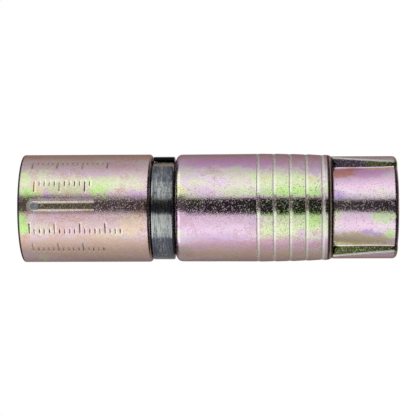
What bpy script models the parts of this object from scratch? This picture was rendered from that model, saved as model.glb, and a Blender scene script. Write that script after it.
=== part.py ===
"""Steel sleeve anchor for a 16 mm hole, standing on the end of its expander cone.

From the top down it has a spacer sleeve, a split crush ring, an expansion sleeve and a winged
expander cone. +Z runs from the cone's end to the mouth, the wings lie along X, and the pressed
channel of the spacer faces -Y.
"""

import math

import bmesh
import bpy
from mathutils import Vector

MM = 0.001

# Bolt and the bores that it passes
BOLT_DIAMETER = 9.5 * MM
BOLT_CLEARANCE = 0.4 * MM
THREAD_DEPTH = 0.7 * MM
BORE_LEAD = 0.35 * MM

# Walls, from the bolt outwards
SLEEVE_WALL = 2.65 * MM
NECK_WALL = 1.5 * MM
NECK_FIT = 0.2 * MM
RING_WALL = 0.61 * MM

# Lengths along the anchor
SPACER_LENGTH = 18.8 * MM
RING_WIDTH = 3.05 * MM
RING_PLAY_ABOVE = 0.12 * MM
RING_PLAY_BELOW = 0.23 * MM
SLEEVE_LENGTH = 22.5 * MM
NECK_REACH = 2.8 * MM
NECK_END_PLAY = 0.3 * MM
CONE_PLAY = 0.05 * MM
WING_LENGTH = 9.25 * MM
NOSE_LENGTH = 3.1 * MM

# Edges of the sleeves and the ring
MOUTH_EDGE = 0.26 * MM
SPACER_FOOT_EDGE = 0.5 * MM
SHOULDER_EDGE = 0.92 * MM
RING_EDGE = 0.14 * MM
NECK_EDGE = 0.2 * MM

# Pressed channel on the spacer
CHANNEL_FROM_MOUTH = 1.7 * MM
CHANNEL_LENGTH = 9.2 * MM
CHANNEL_WIDTH = 1.4 * MM
CHANNEL_DEPTH = 0.22 * MM
CHANNEL_FLOOR_RISE = 0.1 * MM
CHANNEL_WALL_RUN = 0.26 * MM
CHANNEL_RAMP = 1.15 * MM
CHANNEL_LAYERS = 5

# Split in the crush ring, as angles from -Y towards +X
RING_SPLIT_START = math.radians(50.5)
RING_SPLIT_END = math.radians(77.5)

# Gripping end of the expansion sleeve
BAND_SWELL = 0.08 * MM
BAND_SHY = 0.035 * MM
TOOTH_COUNT = 5
TOOTH_PITCH = 2.3 * MM
TOOTH_STEP = 0.06 * MM
TOOTH_RISE = 0.45 * MM
LAST_TOOTH_FROM_END = 1.1 * MM
GRIP_FALL = 0.21 * MM
GRIP_END_LENGTH = 0.98 * MM
GRIP_END_DEPTH = 0.42 * MM
SLIT_WIDTH = 1.2 * MM
SLIT_LENGTH = 17.0 * MM

# Expander cone
CONE_RISE = 1.57 * MM
CONE_ANGLE = math.radians(5.1)
CONE_FIT = 0.12 * MM
CONE_END_ROUND = 0.65 * MM
WING_SHY = 0.39 * MM
WING_HALF_TOP = 2.1 * MM
WING_HALF_FOOT = 3.68 * MM
WING_BULGE = 0.19 * MM
WING_FILLET = 0.3 * MM
WING_EDGE = 0.12 * MM
NOSE_STEP = 0.05 * MM

# Facets
SIDES = 64
CORNER_STEPS = 4
TAPER_STEPS = 6
EASE_LIMIT = 0.45
LONE_EASE_LIMIT = 0.95
MERGE_DISTANCE = 0.005 * MM
SHARP_ANGLE = math.radians(32)

# Radii that follow from the bolt
TAPPED_RADIUS = BOLT_DIAMETER / 2 - THREAD_DEPTH
BORE_RADIUS = BOLT_DIAMETER / 2 + BOLT_CLEARANCE
SLEEVE_RADIUS = BORE_RADIUS + SLEEVE_WALL
NECK_RADIUS = BORE_RADIUS + NECK_WALL
SEAT_RADIUS = NECK_RADIUS + NECK_FIT
RING_RADIUS = SEAT_RADIUS + RING_WALL
CONE_RADIUS = BORE_RADIUS + CONE_RISE
WING_RADIUS = SLEEVE_RADIUS - WING_SHY

# Heights that follow from the lengths
WING_TOP_Z = WING_LENGTH
SLEEVE_FOOT_Z = WING_TOP_Z + CONE_PLAY
SHOULDER_Z = SLEEVE_FOOT_Z + SLEEVE_LENGTH
RING_FOOT_Z = SHOULDER_Z + RING_PLAY_BELOW
RING_TOP_Z = RING_FOOT_Z + RING_WIDTH
SPACER_FOOT_Z = RING_TOP_Z + RING_PLAY_ABOVE
NECK_TOP_Z = SPACER_FOOT_Z + NECK_REACH
MOUTH_Z = SPACER_FOOT_Z + SPACER_LENGTH


def clear_scene():
    """Remove every object that the file opened with."""
    for old in list(bpy.data.objects):
        bpy.data.objects.remove(old, do_unlink=True)


def make_collection(name):
    """Return a new collection linked to the scene."""
    collection = bpy.data.collections.new(name)
    bpy.context.scene.collection.children.link(collection)
    return collection


def make_material(name, colour, metallic, roughness):
    """Return a plain material for one finish."""
    material = bpy.data.materials.new(name)
    material.use_nodes = True
    shader = material.node_tree.nodes["Principled BSDF"]
    shader.inputs["Base Color"].default_value = (*colour, 1.0)
    shader.inputs["Metallic"].default_value = metallic
    shader.inputs["Roughness"].default_value = roughness
    return material


def arc_points(centre, radius, start, end, steps):
    """Return points on an arc, both ends included, with angles in radians."""
    points = []
    for step in range(steps + 1):
        angle = start + (end - start) * step / steps
        points.append((centre[0] + radius * math.cos(angle), centre[1] + radius * math.sin(angle)))
    return points


def rounded_outline(corners):
    """Return a closed outline from corners (x, z, radius), each corner eased by its radius.

    An easing takes at most EASE_LIMIT of an edge that has another easing at its far end, and at
    most LONE_EASE_LIMIT of an edge that hasn't.
    """
    outline = []
    for index, (x, z, radius) in enumerate(corners):
        here = Vector((x, z))
        if radius <= 0:
            outline.append((x, z))
            continue
        *before, radius_before = corners[index - 1]
        *after, radius_after = corners[(index + 1) % len(corners)]
        before = Vector(before)
        after = Vector(after)
        inward = (before - here).normalized()
        outward = (after - here).normalized()
        half_angle = inward.angle(outward) / 2
        room_before = (before - here).length * (EASE_LIMIT if radius_before > 0 else LONE_EASE_LIMIT)
        room_after = (after - here).length * (EASE_LIMIT if radius_after > 0 else LONE_EASE_LIMIT)
        reach = min(radius / math.tan(half_angle), room_before, room_after)
        radius = reach * math.tan(half_angle)
        centre = here + (inward + outward).normalized() * radius / math.sin(half_angle)
        first = here + inward * reach - centre
        last = here + outward * reach - centre
        start = math.atan2(first.y, first.x)
        turn = math.atan2(first.x * last.y - first.y * last.x, first.dot(last))
        outline.extend(arc_points(centre, radius, start, start + turn, CORNER_STEPS))
    return outline


def shade(mesh):
    """Shade a mesh smooth, with its true corners kept sharp."""
    mesh.shade_smooth()
    mesh.set_sharp_from_angle(angle=SHARP_ANGLE)


def turned(name, outline, collection, material=None):
    """Turn a closed outline about Z with a Screw modifier and return the piece."""
    profile = bpy.data.meshes.new(name + "_profile")
    count = len(outline)
    edges = [(index, (index + 1) % count) for index in range(count)]
    profile.from_pydata([(x, 0, z) for x, z in outline], edges, [])
    piece = bpy.data.objects.new(name, profile)
    collection.objects.link(piece)
    screw = piece.modifiers.new("turn", "SCREW")
    screw.axis = "Z"
    screw.angle = math.tau
    screw.steps = SIDES
    screw.render_steps = SIDES
    screw.use_merge_vertices = True
    screw.merge_threshold = MERGE_DISTANCE
    bpy.context.view_layer.update()
    evaluated = piece.evaluated_get(bpy.context.evaluated_depsgraph_get())
    solid = bpy.data.meshes.new_from_object(evaluated)
    piece.modifiers.remove(screw)
    piece.data = solid
    bpy.data.meshes.remove(profile)
    solid.name = name
    shade(solid)
    if material:
        solid.materials.append(material)
    return piece


def lofted(name, loops, collection, material=None):
    """Skin equal closed loops of points, each seen turning left from above, bottom to top."""
    form = bmesh.new()
    rings = [[form.verts.new(point) for point in loop] for loop in loops]
    count = len(rings[0])
    for lower, upper in zip(rings, rings[1:]):
        for index in range(count):
            after = (index + 1) % count
            form.faces.new((lower[index], lower[after], upper[after], upper[index]))
    form.faces.new(list(reversed(rings[0])))
    form.faces.new(rings[-1])
    mesh = bpy.data.meshes.new(name)
    form.to_mesh(mesh)
    form.free()
    piece = bpy.data.objects.new(name, mesh)
    collection.objects.link(piece)
    if material:
        mesh.materials.append(material)
    return piece


def make_cutter(piece):
    """Mark an object as a guide for a Boolean, not a part of the anchor."""
    piece.hide_render = True
    piece.display_type = "WIRE"
    return piece


def boolean(piece, tool, operation):
    """Join or cut a piece with a tool by an exact Boolean modifier."""
    modifier = piece.modifiers.new(tool.name, "BOOLEAN")
    modifier.operation = operation
    modifier.solver = "EXACT"
    modifier.object = tool


def channel_loop(depth_share):
    """Return the channel's outline at a share of its depth, as points on the front of the spacer."""
    top = MOUTH_Z - CHANNEL_FROM_MOUTH - CHANNEL_RAMP * depth_share ** 2
    foot = MOUTH_Z - CHANNEL_FROM_MOUTH - CHANNEL_LENGTH
    half = CHANNEL_WIDTH / 2 - CHANNEL_WALL_RUN * depth_share
    flat = [(-half, foot), (half, foot)]
    flat += arc_points((0, top - half), half, 0, math.pi, 2 * CORNER_STEPS)
    loop = []
    for x, z in flat:
        fall = (MOUTH_Z - CHANNEL_FROM_MOUTH - z) / CHANNEL_LENGTH
        depth = (CHANNEL_DEPTH - CHANNEL_FLOOR_RISE * fall) * depth_share
        loop.append((x, depth - math.sqrt(SLEEVE_RADIUS ** 2 - x ** 2), z))
    return loop


def channel_cutter(collection):
    """Return the tool that presses the channel: round ended at the top, with a curved ramp."""
    shares = [layer / CHANNEL_LAYERS for layer in range(CHANNEL_LAYERS, -1, -1)]
    loops = [channel_loop(share) for share in shares]
    rim = loops[-1]
    loops.append([(x, y - CHANNEL_DEPTH, z) for x, y, z in rim])
    return make_cutter(lofted("channel_tool", loops, collection))


def build_spacer(parts, cutters, steel):
    """Spacer sleeve: a tube with a counterbore at its foot for the neck."""
    seat_top = NECK_TOP_Z + NECK_END_PLAY
    corners = [
        (BORE_RADIUS + BORE_LEAD, MOUTH_Z, 0),
        (SLEEVE_RADIUS, MOUTH_Z, MOUTH_EDGE),
        (SLEEVE_RADIUS, SPACER_FOOT_Z, SPACER_FOOT_EDGE),
        (SEAT_RADIUS, SPACER_FOOT_Z, 0),
        (SEAT_RADIUS, seat_top, 0),
        (BORE_RADIUS, seat_top, 0),
        (BORE_RADIUS, MOUTH_Z - BORE_LEAD, 0),
    ]
    spacer = turned("spacer_sleeve", rounded_outline(corners), parts, steel)
    boolean(spacer, channel_cutter(cutters), "DIFFERENCE")
    return spacer


def split_cutter(collection):
    """Return the wedge that takes the split out of the crush ring."""
    reach = 2 * RING_RADIUS
    loops = []
    for z in (RING_FOOT_Z - RING_PLAY_ABOVE, RING_TOP_Z + RING_PLAY_ABOVE):
        loop = [(0, 0, z)]
        for angle in (RING_SPLIT_START, RING_SPLIT_END):
            loop.append((reach * math.sin(angle), -reach * math.cos(angle), z))
        loops.append(loop)
    return make_cutter(lofted("split_tool", loops, collection))


def build_ring(parts, cutters, nylon):
    """Crush ring: a thin collar around the neck, open at one side."""
    corners = [
        (SEAT_RADIUS, RING_TOP_Z, 0),
        (RING_RADIUS, RING_TOP_Z, RING_EDGE),
        (RING_RADIUS, RING_FOOT_Z, RING_EDGE),
        (SEAT_RADIUS, RING_FOOT_Z, 0),
    ]
    ring = turned("crush_ring", rounded_outline(corners), parts, nylon)
    boolean(ring, split_cutter(cutters), "DIFFERENCE")
    return ring


def cone_radius(z):
    """Return the round body's radius at a height."""
    return CONE_RADIUS - z * math.tan(CONE_ANGLE)


def crest_radius(index):
    """Return the radius of a tooth's crest, counted from the shoulder."""
    share = index / max(1, TOOTH_COUNT - 1)
    return SLEEVE_RADIUS - BAND_SHY + BAND_SWELL - GRIP_FALL * share ** 2


def grip_outline():
    """Return the outside of the expansion sleeve, shoulder to foot.

    Each saw tooth starts in a shallow valley, rises quickly to its crest and then falls away
    gently towards the cone. The last one rolls over into the sleeve's foot in a quarter ellipse.
    """
    outline = [
        (NECK_RADIUS, SHOULDER_Z, 0),
        (SLEEVE_RADIUS - BAND_SHY, SHOULDER_Z, SHOULDER_EDGE),
    ]
    for index in range(TOOTH_COUNT):
        radius = crest_radius(index)
        crest_z = SLEEVE_FOOT_Z + LAST_TOOTH_FROM_END + (TOOTH_COUNT - 1 - index) * TOOTH_PITCH
        outline.append((radius - TOOTH_STEP, crest_z + TOOTH_RISE, 0))
        outline.append((radius, crest_z, 0))
    end_steps = 2 * CORNER_STEPS
    for step in range(end_steps + 1):
        angle = math.pi / 2 * step / end_steps
        x = crest_radius(TOOTH_COUNT - 1) - GRIP_END_DEPTH * (1 - math.cos(angle))
        outline.append((x, SLEEVE_FOOT_Z + GRIP_END_LENGTH * (1 - math.sin(angle)), 0))
    return outline


def slit_cutter(side, collection):
    """Return the round-ended blade that saws one slit into the grip, at +X or -X."""
    half = SLIT_WIDTH / 2
    reach = 2 * SLEEVE_RADIUS
    straight_top = SLEEVE_FOOT_Z + SLIT_LENGTH - half
    flat = [(-half, SLEEVE_FOOT_Z - SLIT_WIDTH), (half, SLEEVE_FOOT_Z - SLIT_WIDTH)]
    flat += arc_points((0, straight_top), half, 0, math.pi, 2 * CORNER_STEPS)
    near = [(0, y, z) for y, z in flat]
    far = [(side * reach, y, z) for y, z in flat]
    loops = [near, far] if side > 0 else [far, near]
    name = "slit_tool_right" if side > 0 else "slit_tool_left"
    return make_cutter(lofted(name, loops, collection))


def build_sleeve(parts, cutters, steel):
    """Expansion sleeve: saw-toothed grip, shoulder and neck, slit from its foot on two sides."""
    flare_foot = cone_radius(SLEEVE_FOOT_Z) + CONE_FIT
    flare_top_z = SLEEVE_FOOT_Z + (flare_foot - BORE_RADIUS) / math.tan(CONE_ANGLE)
    corners = [
        (BORE_RADIUS, NECK_TOP_Z, 0),
        (NECK_RADIUS, NECK_TOP_Z, NECK_EDGE),
        *grip_outline(),
        (flare_foot, SLEEVE_FOOT_Z, 0),
        (BORE_RADIUS, flare_top_z, 0),
    ]
    sleeve = turned("expansion_sleeve", rounded_outline(corners), parts, steel)
    for side in (1, -1):
        boolean(sleeve, slit_cutter(side, cutters), "DIFFERENCE")
    return sleeve


def wing_quadrant(body, reach, half):
    """Return one quarter of the winged section, from the front to the tip of the +X wing.

    Points are (towards the wing, towards the front). The flank lies at a distance half from the
    middle, meets the round body in a fillet and the outside of the wing in an eased edge.
    """
    body_steps = SIDES // 8
    root = Vector((0, half + WING_FILLET))
    root.x = math.sqrt((body + WING_FILLET) ** 2 - root.y ** 2)
    root_angle = math.atan2(root.y, root.x)
    tip = Vector((0, half - WING_EDGE))
    tip.x = math.sqrt((reach - WING_EDGE) ** 2 - tip.y ** 2)
    tip_angle = math.atan2(tip.y, tip.x)
    points = arc_points((0, 0), body, math.pi / 2, root_angle, body_steps)[:-1]
    points += arc_points(root, WING_FILLET, root_angle - math.pi, -math.pi / 2, CORNER_STEPS)
    points += arc_points(tip, WING_EDGE, math.pi / 2, tip_angle, CORNER_STEPS)[:-1]
    points += arc_points((0, 0), reach, tip_angle, 0, CORNER_STEPS)
    return points


def wing_section(z):
    """Return the whole winged section at a height, its outside eased at the foot."""
    foot = max(0.0, CONE_END_ROUND - z)
    eased = CONE_END_ROUND - math.sqrt(CONE_END_ROUND ** 2 - foot ** 2)
    share = (WING_TOP_Z - z) / WING_TOP_Z
    half = WING_HALF_TOP + (WING_HALF_FOOT - WING_HALF_TOP) * share
    half += 4 * WING_BULGE * share * (1 - share)
    quarter = wing_quadrant(cone_radius(z) - eased, WING_RADIUS - eased, half - eased)
    right_front = [(x, -y, z) for x, y in quarter]
    right_back = [(x, y, z) for x, y in reversed(quarter[:-1])]
    left_back = [(-x, y, z) for x, y in quarter[1:]]
    left_front = [(-x, -y, z) for x, y in reversed(quarter[1:-1])]
    return right_front + right_back + left_back + left_front


def wing_heights():
    """Return the heights of the winged sections, close together round the foot."""
    heights = []
    for step in range(CORNER_STEPS):
        heights.append(CONE_END_ROUND * (1 - math.sin(step / CORNER_STEPS * math.pi / 2)))
    heights.reverse()
    heights.insert(0, 0.0)
    for step in range(1, TAPER_STEPS + 1):
        heights.append(CONE_END_ROUND + (WING_TOP_Z - CONE_END_ROUND) * step / TAPER_STEPS)
    return heights


def build_cone(parts, cutters, steel):
    """Expander cone: winged body, plain nose inside the sleeve and a bore for the thread."""
    loops = [wing_section(z) for z in wing_heights()]
    cone = lofted("expander_cone", loops, parts, steel)
    shade(cone.data)
    nose_top = WING_TOP_Z + NOSE_LENGTH
    bury_z = WING_TOP_Z - NOSE_LENGTH / 2
    core = TAPPED_RADIUS - BORE_LEAD
    nose_corners = [
        (core, nose_top, 0),
        (cone_radius(nose_top) - NOSE_STEP, nose_top, NOSE_STEP),
        (cone_radius(bury_z) - NOSE_STEP, bury_z, 0),
        (core, bury_z, 0),
    ]
    nose = make_cutter(turned("nose_form", rounded_outline(nose_corners), cutters))
    boolean(cone, nose, "UNION")
    past = 2 * BORE_LEAD
    bore_corners = [
        (0, nose_top + past, 0),
        (TAPPED_RADIUS + BORE_LEAD + past, nose_top + past, 0),
        (TAPPED_RADIUS, nose_top - BORE_LEAD, 0),
        (TAPPED_RADIUS, BORE_LEAD, 0),
        (TAPPED_RADIUS + BORE_LEAD + past, -past, 0),
        (0, -past, 0),
    ]
    bore = make_cutter(turned("bore_tool", rounded_outline(bore_corners), cutters))
    boolean(cone, bore, "DIFFERENCE")
    return cone


def main():
    """Build the anchor's four pieces."""
    clear_scene()
    parts = make_collection("sleeve_anchor")
    cutters = make_collection("cutters")
    spacer_steel = make_material("yellow_zinc_spacer", (0.66, 0.58, 0.52), 1.0, 0.32)
    sleeve_steel = make_material("yellow_zinc_sleeve", (0.70, 0.57, 0.62), 1.0, 0.30)
    cone_steel = make_material("yellow_zinc_cone", (0.68, 0.58, 0.64), 1.0, 0.30)
    nylon = make_material("black_nylon", (0.03, 0.03, 0.035), 0.0, 0.35)
    build_spacer(parts, cutters, spacer_steel)
    build_ring(parts, cutters, nylon)
    build_sleeve(parts, cutters, sleeve_steel)
    build_cone(parts, cutters, cone_steel)


main()
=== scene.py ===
"""Dress the steel sleeve anchor: yellow zinc sleeves, a black nylon ring and a winged cone."""

from __future__ import annotations

import logging
import math
from dataclasses import dataclass, field
from enum import Enum
from typing import Any, Callable, Optional, Sequence, Union

import bmesh
import bpy
import numpy as np
from mathutils import Matrix, Vector

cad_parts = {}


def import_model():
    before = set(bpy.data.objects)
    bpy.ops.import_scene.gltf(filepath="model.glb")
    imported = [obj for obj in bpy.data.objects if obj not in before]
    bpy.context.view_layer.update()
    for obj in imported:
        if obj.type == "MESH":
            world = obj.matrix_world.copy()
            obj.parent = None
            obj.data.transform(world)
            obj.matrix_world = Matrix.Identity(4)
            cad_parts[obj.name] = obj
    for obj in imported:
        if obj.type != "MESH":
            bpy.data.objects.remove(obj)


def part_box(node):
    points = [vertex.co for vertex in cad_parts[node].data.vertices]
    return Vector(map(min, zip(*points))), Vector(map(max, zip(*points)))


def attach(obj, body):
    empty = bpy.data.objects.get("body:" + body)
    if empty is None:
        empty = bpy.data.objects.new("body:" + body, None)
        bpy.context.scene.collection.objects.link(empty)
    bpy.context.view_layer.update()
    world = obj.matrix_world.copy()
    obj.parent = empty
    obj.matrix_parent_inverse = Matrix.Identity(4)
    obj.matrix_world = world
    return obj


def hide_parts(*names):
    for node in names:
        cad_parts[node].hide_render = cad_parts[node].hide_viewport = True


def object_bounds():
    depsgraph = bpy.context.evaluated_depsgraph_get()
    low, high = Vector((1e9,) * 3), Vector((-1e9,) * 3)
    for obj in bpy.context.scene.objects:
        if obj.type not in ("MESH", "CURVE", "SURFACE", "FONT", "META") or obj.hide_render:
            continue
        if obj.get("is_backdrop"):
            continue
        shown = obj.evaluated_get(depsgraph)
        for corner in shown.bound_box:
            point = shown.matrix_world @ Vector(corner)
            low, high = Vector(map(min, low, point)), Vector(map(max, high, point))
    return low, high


MM = 0.001
BODY = "root"
SHARP_ANGLE = math.radians(28)
WHITE = (1.0, 1.0, 1.0, 1.0)

# Greatest share of an edge that an easing takes up, beside another easing and beside a plain corner
EASE_LIMIT = 0.45
LONE_EASE_LIMIT = 0.95

Colour = tuple[float, float, float]
Corner = tuple[float, float, float]
Point = tuple[float, float]
Span = tuple[float, float]
Owner = Union[bpy.types.Material, bpy.types.World]

log = logging.getLogger("sleeve_anchor")


class Tint(Enum):
    """Colours that the passive film on the zinc takes as its thickness changes."""

    TAN = (0.82, 0.575, 0.465)
    BROWN = (0.62, 0.50, 0.36)
    GOLD = (0.88, 0.74, 0.44)
    PEACH = (0.92, 0.72, 0.55)
    SALMON = (0.80, 0.37, 0.34)
    ROSE = (0.84, 0.60, 0.62)
    MAUVE = (0.84, 0.50, 0.62)
    PINK = (0.84, 0.62, 0.76)
    LILAC = (0.82, 0.58, 0.84)
    MAGENTA = (0.86, 0.46, 0.80)
    VIOLET = (0.56, 0.40, 0.76)
    PEARL = (0.95, 0.76, 0.92)
    SILVER = (0.88, 0.76, 0.83)
    CREAM = (0.86, 0.85, 0.66)
    OLIVE = (0.68, 0.68, 0.44)
    ORCHID = (0.94, 0.64, 0.88)
    YELLOW = (0.86, 0.86, 0.50)
    PALE_LIME = (0.80, 0.93, 0.54)
    LIME = (0.64, 0.95, 0.36)


class Side(Enum):
    """The two halves of the anchor, seen from the front."""

    RIGHT = 1
    LEFT = -1


class Signal:
    """One shader socket that can stand in a Python expression."""

    def __init__(self, graph: ShaderGraph, socket: bpy.types.NodeSocket) -> None:
        """Keep the graph and its output socket."""
        self.graph = graph
        self.socket = socket

    def output(self, name: str) -> Signal:
        """Return another output of the same node."""
        return Signal(self.graph, self.socket.node.outputs[name])

    def __add__(self, other: Term) -> Signal:
        """Return the sum."""
        return self.graph.maths("ADD", self, other)

    def __sub__(self, other: Term) -> Signal:
        """Return the difference."""
        return self.graph.maths("SUBTRACT", self, other)

    def __rsub__(self, other: Term) -> Signal:
        """Return the difference from a plain number."""
        return self.graph.maths("SUBTRACT", other, self)

    def __mul__(self, other: Term) -> Signal:
        """Return the product."""
        return self.graph.maths("MULTIPLY", self, other)

    def __truediv__(self, other: Term) -> Signal:
        """Return the quotient."""
        return self.graph.maths("DIVIDE", self, other)

    def __rtruediv__(self, other: Term) -> Signal:
        """Return the quotient of a plain number by this one."""
        return self.graph.maths("DIVIDE", other, self)

    __radd__ = __add__
    __rmul__ = __mul__

    def size(self) -> Signal:
        """Return the value without its sign."""
        return self.graph.maths("ABSOLUTE", self)

    def ramped(self, low: float, high: float) -> Signal:
        """Return 0 below low, 1 above high and a smooth rise between."""
        settings = {"interpolation_type": "SMOOTHSTEP"}
        return self.graph.node("ShaderNodeMapRange", settings, {0: self, 1: low, 2: high})


Term = Union[Signal, float]


@dataclass(frozen=True)
class Grain:
    """A noise: its features a metre, its octaves and the share that each octave keeps."""

    scale: float
    octaves: float = 2.0
    kept: float = 0.5


class ShaderGraph:
    """A node tree that shader expressions are written into."""

    def __init__(self, owner: Owner) -> None:
        """Start the owner's tree afresh.

        Args:
            owner: Material or world whose nodes are made.
        """
        owner.use_nodes = True
        self.owner = owner
        self.tree = owner.node_tree
        self.tree.nodes.clear()

    def node(self, kind: str, settings: Optional[dict[str, Any]] = None,
             sockets: Optional[dict[Union[int, str], Any]] = None) -> Signal:
        """Add one node.

        Args:
            kind: The node's type.
            settings: Its properties, set first; stops are a ramp's (place, colour) pairs.
            sockets: Plain values or signals for its inputs, by name or by number.

        Returns:
            The node's first output that is in use.
        """
        made = self.tree.nodes.new(kind)
        for name, value in (settings or {}).items():
            if name == "stops":
                self.set_stops(made.color_ramp, value)
            else:
                setattr(made, name, value)
        for name, value in (sockets or {}).items():
            if isinstance(value, Signal):
                self.tree.links.new(value.socket, made.inputs[name])
            else:
                made.inputs[name].default_value = value
        shown = [socket for socket in made.outputs if socket.enabled]
        return Signal(self, shown[0] if shown else None)

    @staticmethod
    def set_stops(ramp: bpy.types.ColorRamp, stops: Sequence[tuple[float, Colour]]) -> None:
        """Give a ramp its stops.

        Args:
            ramp: The colour ramp.
            stops: Pairs of place and colour, in order.
        """
        while len(ramp.elements) < len(stops):
            ramp.elements.new(1.0)
        for element, (place, colour) in zip(ramp.elements, stops):
            element.position = place
            element.color = (*colour, 1.0)

    def maths(self, operation: str, first: Term, second: Term = 0.0) -> Signal:
        """Return the result of one Math node."""
        return self.node("ShaderNodeMath", {"operation": operation}, {0: first, 1: second})

    def length(self, across: Signal, along: Signal) -> Signal:
        """Return the length of a step from its two parts."""
        return self.maths("SQRT", across * across + along * along)

    def ramp(self, place: Signal, stops: Sequence[tuple[float, Colour]]) -> Signal:
        """Return the colour of a ramp at a place from 0 to 1."""
        return self.node("ShaderNodeValToRGB", {"stops": stops}, {0: place})

    def grey(self, level: Signal) -> Signal:
        """Return the grey of a level."""
        return self.node("ShaderNodeCombineColor", {}, {0: level, 1: level, 2: level})

    def blend(self, mask: Term, base: Any, over: Any, mode: str = "MIX") -> Signal:
        """Mix two colours.

        Args:
            mask: Share of the second colour.
            base: First colour, a signal or three numbers.
            over: Second colour, a signal or three numbers.
            mode: Blend type of the Mix node.

        Returns:
            The mixed colour.
        """
        colours = [tint if isinstance(tint, Signal) else (*tint, 1.0) for tint in (base, over)]
        settings = {"data_type": "RGBA", "blend_type": mode, "clamp_factor": True}
        return self.node("ShaderNodeMix", settings, {0: mask, 6: colours[0], 7: colours[1]})

    def noise(self, place: Signal, grain: Grain) -> Signal:
        """Return a noise value at a place, about 0.5 in the middle."""
        sockets = {"Vector": place, "Scale": grain.scale, "Detail": grain.octaves, "Roughness": grain.kept}
        return self.node("ShaderNodeTexNoise", {}, sockets)

    def finish(self, shader: Signal) -> Owner:
        """Wire the last shader to the output.

        Args:
            shader: The finished shader.

        Returns:
            The owner of the tree.
        """
        of_world = isinstance(self.owner, bpy.types.World)
        kind = "ShaderNodeOutputWorld" if of_world else "ShaderNodeOutputMaterial"
        self.node(kind, {}, {"Surface": shader})
        return self.owner


class Around:
    """Coordinates on an anchor: the point, the angle from the front and the height."""

    def __init__(self, graph: ShaderGraph) -> None:
        """Read the piece's own coordinates.

        Args:
            graph: Graph of the finish that uses them.
        """
        self.place = graph.node("ShaderNodeTexCoord").output("Object")
        axes = graph.node("ShaderNodeSeparateXYZ", {}, {0: self.place})
        self.right = axes.output("X")
        self.back = axes.output("Y")
        self.height = axes.output("Z")
        self.angle = graph.maths("ARCTAN2", self.right, 0 - self.back)


@dataclass(frozen=True)
class Patch:
    """A soft patch of one film colour, given one by one: angles in degrees, heights in millimetres. Patches
    at the sides also stand in as painted shade.
    """

    tint: Tint
    angle: float
    height: float
    half_angle: float
    half_height: float
    strength: float = 0.8
    edge: Span = (-0.2, 0.4)

    def mask(self, angle: Signal, height: Signal, ragged: Signal) -> Signal:
        """Return how much of the patch lies at a point.

        Args:
            angle: Angle from the front, wandering a little.
            height: Height, wandering a little.
            ragged: Noise about 0 that breaks the patch's edge.

        Returns:
            Share of the patch's tint.
        """
        across = (angle - math.radians(self.angle)) * (1 / math.radians(self.half_angle))
        along = (height - self.height * MM) * (1 / (self.half_height * MM))
        depth = 1 - (across * across + along * along)
        return (depth * 0.5 + ragged).ramped(*self.edge) * self.strength


@dataclass(frozen=True)
class Bands:
    """Lines of colour and roughness round a sleeve, evenly spaced, such as the nicks before its teeth; many
    of them are painted highlights and painted shade.
    """

    first: float
    half_width: float
    tint: Colour
    roughness: float
    pitch: float = 1.0
    count: int = 1
    broken: float = 0.0
    core: float = 0.6
    fray: Span = (0.0, 0.6)
    row_end: Span = (0.4, 0.5)

    def mask(self, graph: ShaderGraph, around: Around, ragged: Signal) -> Signal:
        """Return 1 on a line and 0 beside it.

        Args:
            graph: Graph of the finish.
            around: The piece's coordinates.
            ragged: Noise about 0 that breaks the line.

        Returns:
            Share of the line's look.
        """
        turns = (around.height - self.first) * (1 / self.pitch)
        away = (graph.maths("FRACT", turns + 0.5) - 0.5).size() * self.pitch
        line = 1 - away.ramped(self.half_width * self.core, self.half_width)
        middle = (self.count - 1) / 2
        inside = 1 - (turns - middle).size().ramped(*(middle + end for end in self.row_end))
        if self.broken > 0:
            line = line * (ragged + (1 - self.broken)).ramped(*self.fray)
        return line * inside


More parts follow.
